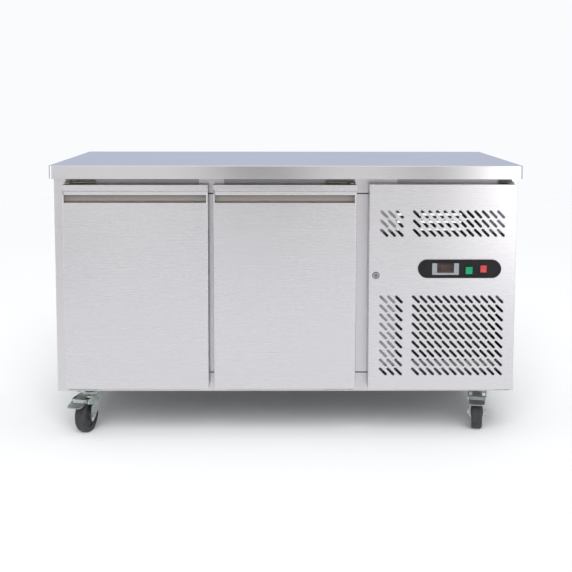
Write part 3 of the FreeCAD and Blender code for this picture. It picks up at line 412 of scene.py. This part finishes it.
def close_rings(bm, rings, closed=True):
    """Faces between successive rings of vertices, each ring holding the same number of vertices."""
    count = len(rings[0])
    for first, second in zip(rings, rings[1:]):
        for i in range(count if closed else count - 1):
            j = (i + 1) % count
            bm.faces.new((first[i], first[j], second[j], second[i]))


def spun_rings(bm, place, facing, profile, sides):
    """Rings of vertices round an axis, one for each (radius, height) of the profile."""
    turn = Vector((0, 0, 1)).rotation_difference(Vector(facing)).to_matrix()
    rings = []
    for radius, height in profile:
        ring = []
        for i in range(sides):
            angle = 2 * math.pi * i / sides
            local = Vector((radius * math.cos(angle), radius * math.sin(angle), height))
            ring.append(bm.verts.new(Vector(place) + turn @ local))
        rings.append(ring)
    return rings, turn


def turned(bm, place, facing, profile, sides=24):
    """A body of revolution that is open at its top; gives back its top ring and its turn."""
    rings, turn = spun_rings(bm, place, facing, profile, sides)
    close_rings(bm, rings)
    bm.faces.new(rings[0])
    return rings[-1], turn


def turned_top(bm, place, facing, profile):
    """A body of revolution in millimetres whose top is closed too."""
    top, _ = turned(bm, place, facing, [(radius * MM, height * MM) for radius, height in profile])
    bm.faces.new(top[::-1])


def turned_ring(bm, place, facing, profile):
    """A ring: a closed profile in millimetres that runs round an open middle."""
    scaled = [(radius * MM, height * MM) for radius, height in profile]
    rings, _ = spun_rings(bm, place, facing, scaled, 40)
    close_rings(bm, rings + rings[:1])


def cross_screw(bm, place, facing, radius, twist=0.0):
    """Pan head with a real cross recess."""
    height = 0.55 * radius
    outline = ((1.0, 0.0), (1.0, 0.25), (0.88, 0.68), (0.66, 0.92))
    rim, turn = turned(bm, place, facing, [(u * radius, v * height) for u, v in outline])
    arm, half = 0.5 * radius, 0.13 * radius
    cross = []
    for quarter in range(4):
        for x, y in ((arm, -half), (arm, half), (half, half)):
            angle = twist + quarter * math.pi / 2
            cos, sin = math.cos(angle), math.sin(angle)
            cross.append(Vector((x * cos - y * sin, x * sin + y * cos, 0)))
    rings = []
    for depth, grow in ((height, 1.0), (0.3 * height, 0.72)):
        rings.append([bm.verts.new(Vector(place) + turn @ (c * grow + Vector((0, 0, depth)))) for c in cross])
    close_rings(bm, rings)
    bm.faces.new(rings[1])
    # the rim and the mouth of the recess: two rim vertices for each recess vertex
    start = min(range(len(rim)), key=lambda i: (rim[i].co - rings[0][0].co).length)
    rim = rim[start:] + rim[:start]
    for i in range(len(cross)):
        j = (i + 1) % len(cross)
        a, b, c = rim[2 * i], rim[2 * i + 1], rim[(2 * i + 2) % len(rim)]
        bm.faces.new((a, b, rings[0][i]))
        bm.faces.new((b, c, rings[0][j], rings[0][i]))


def swept_frame(bm, low, high, profile):
    """Sweep a closed profile of (inset, y) points round a rectangle, mitred at its corners."""
    (x0, z0), (x1, z1) = low, high
    rings = []
    for x, z, sx, sz in ((x0, z0, 1, 1), (x1, z0, -1, 1), (x1, z1, -1, -1), (x0, z1, 1, -1)):
        rings.append([bm.verts.new((x + sx * inset, y, z + sz * inset)) for inset, y in profile])
    close_rings(bm, rings + rings[:1])


def islands(bm):
    """Groups of vertices that hang together."""
    left, groups = set(bm.verts), []
    while left:
        group, edge = set(), [left.pop()]
        while edge:
            vertex = edge.pop()
            group.add(vertex)
            for other in (e.other_vert(vertex) for e in vertex.link_edges):
                if other in left:
                    left.discard(other)
                    edge.append(other)
        groups.append(group)
    return groups


def welded(node):
    """A copy of a CAD node's mesh with its faces joined up."""
    bm = bmesh.new()
    bm.from_mesh(frame["nodes"][node].data)
    bmesh.ops.remove_doubles(bm, verts=bm.verts, dist=WELD)
    bmesh.ops.dissolve_limit(bm, angle_limit=FLAT_ANGLE, verts=bm.verts, edges=bm.edges)
    return bm


# ---- detailed pieces ----
def make_screws():
    """Cross-head screws in the hinge brackets, and the castor bolts with their washer faces."""
    bm = welded("fixing_screws")
    bolts_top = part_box("base_panel")[1][2] + 0.004
    places = []
    for group in islands(bm):
        z = sum(v.co.z for v in group) / len(group)
        if z < bolts_top:
            continue
        middle = sum((v.co for v in group), Vector()) / len(group)
        back = max(v.co.y for v in group)
        places.append((middle.x, back, middle.z))
        bmesh.ops.delete(bm, geom=list(group), context="VERTS")
    for i, place in enumerate(places):
        cross_screw(bm, place, (0, -1, 0), BRACKET_SCREW, 0.7 * i)
    add_piece("fixing_screws_finished", bm, "cabinet", "zinc_plate", ["fixing_screws"])


def make_rear_screws():
    """Pan-head screws that hold the rear sheets along their edges."""
    bm = bmesh.new()
    turn = 0
    for node, columns in (("rear_panel", 5), ("rear_grille", 3)):
        (x0, _, z0), (x1, y, z1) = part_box(node)
        edge = REAR_SCREW_INSET
        xs = [x0 + edge + (x1 - x0 - 2 * edge) * i / (columns - 1) for i in range(columns)]
        zs = [z0 + edge + (z1 - z0 - 2 * edge) * i / 3 for i in range(4)]
        places = [(x, z) for x in xs for z in (zs[0], zs[-1])]
        places += [(x, z) for x in (xs[0], xs[-1]) for z in zs[1:-1]]
        for x, z in places:
            cross_screw(bm, (x, y, z), (0, 1, 0), REAR_SCREW, 0.9 * turn)
            turn += 1
    add_piece("rear_sheet_screws", bm, "cabinet", "zinc_plate")


def front_posts():
    """The low and high corners of each frame post that shows at the front."""
    face_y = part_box("frame_rails")[0][1]
    bm = welded("frame_posts")
    spans = []
    for group in islands(bm):
        low = [min(v.co[k] for v in group) for k in range(3)]
        high = [max(v.co[k] for v in group) for k in range(3)]
        if low[1] < face_y + MM / 2:
            spans.append((low, high))
    bm.free()
    return spans


def rail_steel():
    """Steel of the front rails: in shadow over the doors, and bright where a post beside them runs up."""
    f = Finish("frame_rail_steel", shade(STEEL, 0.95), 0.32, 1.0)
    fine = f.noise((9.0, 1100.0, 1100.0), 3.0)
    base = f.colour(f.noise((1.1, 60.0, 60.0)), shade(STEEL, 0.945), shade(STEEL, 0.955))
    cavity_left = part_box("cavity_liner")[0][0]
    bright = 0.0
    for low, high in front_posts():
        if low[0] > cavity_left:
            bright = f.combine(bright, f.within("X", low[0], high[0]), "MAXIMUM")
    shadow = f.spread(f.crevice(0.07), 0.4, 1.0, 0.0, 0.8)
    f.darken(base, f.combine(bright, shadow, "MAXIMUM"))
    f.rough(f.spread(fine, 0.3, 0.36))
    f.bump(fine, 0.15e-6)
    return f.material


def make_seams():
    """Dark sealant in the open joints between the frame's posts and rails."""
    face_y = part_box("frame_rails")[0][1]
    bm = bmesh.new()
    for low, high in front_posts():
        for z in (low[2] - 0.8 * MM, high[2] + 0.8 * MM):
            rings = []
            for x in (low[0], high[0]):
                ring = []
                for i in range(9):
                    angle = math.pi * i / 8
                    y = face_y + 0.1 * MM - 0.5 * MM * math.sin(angle)
                    ring.append(bm.verts.new((x, y, z + SEAM / 2 * math.cos(angle))))
                ring.append(bm.verts.new((x, face_y + 0.95 * MM, z)))
                rings.append(ring)
            close_rings(bm, rings)
            for ring in rings:
                bm.faces.new(ring)
    add_piece("frame_seams", bm, "cabinet", "black_rubber")


def make_door_skin(name):
    """The outer skin with a rolled lip below its finger pocket; the pocket's faces take a darker, browner
    steel as painted shade, and the lip's bevel a brighter steel as a painted highlight.
    """
    node = name + "_skin"
    side = name.removesuffix("_door")
    boxes = {opening["name"]: opening["box_m"] for opening in frame["record"]["physics"]["openings"]}
    mouth, hollow = boxes[side + "_handle_mouth"], boxes[side + "_handle_hollow"]
    x0, x1 = mouth[0][0], mouth[1][0]
    back_y, top_z = hollow[1][1:]
    face_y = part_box(node)[0][1]
    bm = welded(node)
    on_face = [e for e in bm.edges if all(abs(v.co.y - face_y) < 2 * WELD for v in e.verts)]
    rims = [e for e in on_face if e.calc_length() > (x1 - x0) / 2]
    lip = max(rims, key=lambda edge: edge.verts[0].co.z)
    lip_z = lip.verts[0].co.z
    # the lip's bevel faces take material 2, the brighter steel: a painted highlight
    bmesh.ops.bevel(bm, geom=[lip], offset=LIP_RADIUS, segments=4, profile=0.5, affect="EDGES",
                    clamp_overlap=True, material=2)
    limit = math.radians(35)
    edges = [e for e in bm.edges if len(e.link_faces) == 2 and e.calc_face_angle() > limit]
    bmesh.ops.bevel(bm, geom=edges, offset=SHEET_RADIUS, segments=2, profile=0.6, affect="EDGES",
                    clamp_overlap=True)
    skin = add_piece(node + "_finished", bm, name, SLOT_OF[node], [node])
    skin.data.materials.append(POCKET_SHADE_STEEL)
    skin.data.materials.append(LIP_HIGHLIGHT_STEEL)
    behind_lip = face_y + LIP_RADIUS + 0.2 * MM
    # faces inside the pocket take the darker steel: painted shade
    for face in skin.data.polygons:
        x, y, z = face.center
        in_height = lip_z - MM < z < top_z + MM
        if in_height and x0 - MM < x < x1 + MM and behind_lip < y < back_y + 4 * MM:
            face.material_index = 1


def make_lock_washer():
    """Black washer that shows round the lock's rim."""
    low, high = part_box("panel_lock")
    centre = (Vector(low) + Vector(high)) / 2
    radius = (high[0] - low[0]) / 2 / MM
    face_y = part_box("service_panel")[0][1]
    bm = bmesh.new()
    turned_ring(bm, (centre.x, face_y, centre.z), (0, -1, 0),
                [(radius + 0.05, 0.0), (radius + 0.05, 0.9), (radius + 1.1, 0.8), (radius + 1.5, 0.0)])
    add_piece("lock_washer", bm, "service_panel", "black_rubber")


def make_gasket(name):
    """Magnetic door seal: a soft bellows between a snap-in heel and a flat magnet pocket."""
    (x0, y0, z0), (x1, y1, z1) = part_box(name + "_gasket")
    profile = [(0.0, 0.0), (0.0, 0.12), (0.16, 0.2), (0.09, 0.34), (0.03, 0.42), (0.1, 0.52), (0.04, 0.64),
               (0.0, 0.72), (0.0, 0.95), (0.06, 1.0), (0.78, 1.0), (0.84, 0.95), (0.84, 0.72), (0.74, 0.62),
               (0.86, 0.5), (0.92, 0.36), (0.84, 0.22), (1.0, 0.12), (1.0, 0.0)]
    bm = bmesh.new()
    section = [(u * GASKET_WIDTH, y0 + v * (y1 - y0)) for u, v in profile[::-1]]
    swept_frame(bm, (x0, z0), (x1, z1), section)
    add_piece(name + "_gasket_ribbed", bm, name, "grey_seal", [name + "_gasket"])


def make_keys():
    """Four touch keys in the controller's frame, two each side of its window."""
    (x0, y, z0), (x1, _, z1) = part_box("temperature_controller")
    wx0, wx1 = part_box("controller_window")[0][0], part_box("controller_window")[1][0]
    bm = bmesh.new()
    for x in ((x0 + wx0) / 2, (wx1 + x1) / 2):
        for part in (0.3, 0.7):
            z = z0 + (z1 - z0) * part
            turned_top(bm, (x, y, z), (0, -1, 0), [(3.1, 0.0), (3.1, 0.25), (2.7, 0.5), (1.4, 0.62)])
    add_piece("controller_keys", bm, "service_panel", "grey_plastic")


def make_digits():
    """Unlit segments of a two-digit display with a decimal point, standing a hair proud of the window."""
    (x0, y, z0), (x1, _, z1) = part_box("controller_window")
    bm = bmesh.new()
    height, width, stroke = 0.46 * (z1 - z0), 8.2 * MM, 1.3 * MM
    base, left = z0 + 0.3 * (z1 - z0), (x0 + x1) / 2 - 10.5 * MM
    depth = 0.12 * MM

    def bar(ax, az, bx, bz):
        along = Vector((bx - ax, 0, bz - az)).normalized()
        side = Vector((-along.z, 0, along.x)) * stroke / 2
        a = Vector((ax, y, az)) + along * 0.2 * MM
        b = Vector((bx, y, bz)) - along * 0.2 * MM
        tip = along * stroke / 2
        outline = [a, a + tip + side, b - tip + side, b, b - tip - side, a + tip - side]
        rings = [[bm.verts.new(p + Vector((0, shift, 0))) for p in outline] for shift in (0.0, -depth)]
        close_rings(bm, rings)
        bm.faces.new(rings[1])
        bm.faces.new(rings[0][::-1])

    for i in range(2):
        a = left + i * (width + 4.2 * MM)
        middle, top = base + height / 2, base + height
        for segment in ((a, base, a + width, base), (a, middle, a + width, middle), (a, top, a + width, top),
                        (a, base, a, middle), (a, middle, a, top),
                        (a + width, base, a + width, middle),
                        (a + width, middle, a + width, top)):
            bar(*segment)
    turned_top(bm, (left + 2 * width + 7.5 * MM, y, base), (0, -1, 0), [(0.8, 0.0), (0.8, 0.1), (0.5, 0.12)])
    add_piece("display_segments", bm, "service_panel", "dark_window", finish=UNLIT_SEGMENT)


def make_hub_rings():
    """Rings round the hub on both sides of each wheel."""
    profile = [(17.5, 0.0), (17.5, 1.2), (16.6, 2.0), (14.6, 2.2), (14.2, 1.6)]
    for corner in CORNERS:
        source = frame["nodes"][corner + "_wheel"]
        low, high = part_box(corner + "_wheel")
        centre = (Vector(low) + Vector(high)) / 2
        axis = wheel_axis(corner)
        bm = bmesh.new()
        for side in (-1, 1):
            hub = centre + axis * side * 12.2 * MM
            turned_ring(bm, hub, axis * side, profile)
        add_piece(corner + "_hub_ring", bm, source["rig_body"], "matt_black_plastic")


def wheel_axis(corner):
    """The wheel joint's axis, from the record."""
    for joint in frame["record"]["behaviour"]["joints"]:
        if joint["name"] == corner + "_wheel_spin":
            return Vector(joint["axis"]).normalized()
    raise KeyError(corner)


# ---- materials on the nodes, then the pieces ----
OWN_FINISHES["frame_rails"] = rail_steel()
for node, source in frame["nodes"].items():
    for material_slot in source.material_slots:
        material_slot.material = OWN_FINISHES.get(node, FINISHES[SLOT_OF[node]])


SOFTENED = {                         # radius of the edges in millimetres
    "service_panel": 0.3, "control_bezel": 0.45, "temperature_controller": 0.35, "green_rocker": 0.5,
    "red_rocker": 0.5, "panel_lock": 0.25, "lock_plug": 0.15, "hinge_brackets": 0.35, "caster_plates": 0.3,
    # control_housing is a dark box that stands in for the shade seen through the lower slots
    "left_door_handle": 0.3, "right_door_handle": 0.3, "cable_gland": 0.4, "control_housing": 0.5,
    **{corner + "_fork": 0.35 for corner in CORNERS},
    **{corner + "_brake_pedal": 0.35 for corner in CORNERS[:2]},
    **{corner + "_wheel": 0.25 for corner in CORNERS},
}
for node, radius in SOFTENED.items():
    refine(node, radius * MM)
make_hub_rings()
make_screws()
make_rear_screws()
make_seams()
for door in DOORS:
    make_door_skin(door)
    make_gasket(door)
make_lock_washer()
make_keys()
make_digits()


# ---- stage ----
PAPER = (0.955, 0.965, 0.985)             # background as seen
FLOOR_SHADE = (0.588, 0.593, 0.604)
FLOOR_FADE_START, FLOOR_RADIUS = 3.5, 9.0
STUDIO_FRONT, STUDIO_BACK = (0.96, 0.96, 0.96), (0.56, 0.62, 0.753)      # as mirrored in gloss
STUDIO_FILL = 0.8                         # strength of the surroundings on matt surfaces
CARD_Y = -3.6                             # the cards stand just behind the camera
SUN_POWER, SUN_WIDTH, SUN_ELEVATION = 4.1, math.radians(45), math.radians(38.0)
CAMERA_PLACE = Vector((-0.0228, -3.4866, 1.0281))
CAMERA_YAW, CAMERA_PITCH, CAMERA_ROLL = -0.0072, 0.1022, 0.0012          # radians
FRAMES_OF_FOCAL_LENGTH, CAMERA_SHIFT = 1.924, -0.15
SENSOR = 36.0                             # millimetres


def make_floor():
    """A pale disc that fades out towards its edge, so that no horizon shows."""
    bm = bmesh.new()
    bmesh.ops.create_circle(bm, cap_ends=True, radius=FLOOR_RADIUS, segments=96)
    mesh = bpy.data.meshes.new("floor")
    bm.to_mesh(mesh)
    bm.free()
    floor = bpy.data.objects.new("floor", mesh)
    bpy.context.scene.collection.objects.link(floor)
    f = Finish("pale_floor", FLOOR_SHADE, 0.85, **{"Specular IOR Level": 0.0})
    distance = f.add("ShaderNodeVectorMath", operation="LENGTH")
    f.link(f.place, distance.inputs[0])
    fade = f.spread(distance.outputs["Value"], 1.0, 0.0, FLOOR_FADE_START, FLOOR_RADIUS)
    f.link(fade, f.shader.inputs["Alpha"])
    f.colour(f.noise(1.2, 2.0), shade(FLOOR_SHADE, 0.995), shade(FLOOR_SHADE, 1.005))
    mesh.materials.append(f.material)


def make_world():
    """White studio: plain when seen directly, even on matt surfaces, darker and bluer behind for gloss."""
    world = bpy.data.worlds.new("studio")
    world.use_nodes = True
    bpy.context.scene.world = world
    tree = world.node_tree
    tree.nodes.clear()
    link = tree.links.new

    def background(colour, strength=1.0):
        node = tree.nodes.new("ShaderNodeBackground")
        node.inputs["Color"].default_value = (*colour, 1)
        node.inputs["Strength"].default_value = strength
        return node

    def either(test, when_false, when_true):
        mix = tree.nodes.new("ShaderNodeMixShader")
        link(rays.outputs[test], mix.inputs["Fac"])
        link(when_false.outputs[0], mix.inputs[1])
        link(when_true.outputs[0], mix.inputs[2])
        return mix

    rays = tree.nodes.new("ShaderNodeLightPath")
    split = tree.nodes.new("ShaderNodeSeparateXYZ")
    link(tree.nodes.new("ShaderNodeTexCoord").outputs["Generated"], split.inputs[0])
    spread = tree.nodes.new("ShaderNodeMapRange")
    spread.inputs["From Min"].default_value = -1.0
    spread.inputs["From Max"].default_value = 1.0
    link(split.outputs["Y"], spread.inputs["Value"])
    ramp = tree.nodes.new("ShaderNodeValToRGB")
    for stop, place, tint in zip(ramp.color_ramp.elements, (0.45, 0.85), (STUDIO_FRONT, STUDIO_BACK)):
        stop.position = place
        stop.color = (*tint, 1)
    link(spread.outputs["Result"], ramp.inputs["Fac"])
    glossy = background((1, 1, 1))
    link(ramp.outputs["Color"], glossy.inputs["Color"])
    lit = either("Is Diffuse Ray", glossy, background((1, 1, 1), STUDIO_FILL))
    seen = either("Is Camera Ray", lit, background(PAPER))
    link(seen.outputs[0], tree.nodes.new("ShaderNodeOutputWorld").inputs["Surface"])


def card(name, x, z, brightness):
    """A flat card behind the camera that only shows as a soft patch in the steel."""
    bm = bmesh.new()
    corners = ((x[0], z[0]), (x[1], z[0]), (x[1], z[1]), (x[0], z[1]))
    bm.faces.new([bm.verts.new((a, CARD_Y, b)) for a, b in corners])
    mesh = bpy.data.meshes.new(name)
    bm.to_mesh(mesh)
    bm.free()
    inputs = {"Emission Color": (1, 1, 1, 1), "Emission Strength": brightness, "Specular IOR Level": 0.0}
    f = Finish(name, (0, 0, 0), 1.0, **inputs)
    mesh.materials.append(f.material)
    panel = bpy.data.objects.new(name, mesh)
    bpy.context.scene.collection.objects.link(panel)
    panel.visible_camera = False
    panel.visible_shadow = False
    panel.visible_diffuse = False


def front_light():
    """Broad low light from the front that reaches under the cabinet; it leaves no highlight."""
    data = bpy.data.lights.new("front_light", "SUN")
    data.energy = SUN_POWER
    data.angle = SUN_WIDTH
    lamp = bpy.data.objects.new("front_light", data)
    lamp.rotation_mode = "QUATERNION"
    down = Vector((0, math.cos(SUN_ELEVATION), -math.sin(SUN_ELEVATION)))
    lamp.rotation_quaternion = down.to_track_quat("-Z", "Y")
    bpy.context.scene.collection.objects.link(lamp)
    lamp.visible_glossy = False
    lamp.visible_camera = False


def softbox(name, place, target, width, height, power, lights_matt=True):
    """A rectangular lamp aimed at a target; without lights_matt it only shows in gloss."""
    data = bpy.data.lights.new(name, "AREA")
    data.shape = "RECTANGLE"
    data.size, data.size_y = width, height
    data.energy = power
    lamp = bpy.data.objects.new(name, data)
    lamp.location = place
    lamp.rotation_mode = "QUATERNION"
    lamp.rotation_quaternion = (Vector(target) - Vector(place)).to_track_quat("-Z", "Y")
    bpy.context.scene.collection.objects.link(lamp)
    lamp.visible_camera = False
    lamp.visible_diffuse = lights_matt


def make_camera():
    """Product view from about 3 m before the doors, a little above the worktop, with a small shift."""
    yaw, pitch, roll = CAMERA_YAW, CAMERA_PITCH, CAMERA_ROLL
    level = Vector((-math.sin(yaw), math.cos(yaw), 0.0))
    forward = level * math.cos(pitch) - Vector((0.0, 0.0, math.sin(pitch)))
    right = Vector((math.cos(yaw), math.sin(yaw), 0.0))
    up = right.cross(forward)
    cos, sin = math.cos(roll), math.sin(roll)
    right, up = right * cos + up * sin, up * cos - right * sin
    data = bpy.data.cameras.new("camera")
    data.sensor_width = SENSOR
    data.lens = SENSOR * FRAMES_OF_FOCAL_LENGTH
    data.shift_y = CAMERA_SHIFT
    camera = bpy.data.objects.new("camera", data)
    turn = Matrix((right, up, -forward)).transposed().to_4x4()
    camera.matrix_world = Matrix.Translation(CAMERA_PLACE) @ turn
    bpy.context.scene.collection.objects.link(camera)
    bpy.context.scene.camera = camera


make_floor()
make_world()
make_camera()
front_light()
card("dark_card_edge", (-1.8, -1.28), (0.0, 0.36), 0.4)
card("dark_card_left", (-0.36, 0.12), (0.3, 1.1), 0.3)
card("dark_card_right", (0.7, 1.16), (0.1, 1.3), 0.5)
card("white_card", (1.22, 2.4), (0.0, 1.1), 2.7)
softbox("overhead", (0.2, -0.6, 3.2), (0, 0, 0.5), 3.4, 2.4, 24.0)
softbox("left_side", (-3.2, -1.4, 1.5), (0, 0, 0.5), 1.6, 2.2, 11.0, False)
softbox("right_side", (3.0, -1.8, 1.5), (0, 0, 0.5), 1.8, 2.4, 12.0, False)
bpy.context.scene.view_settings.view_transform = "Standard"
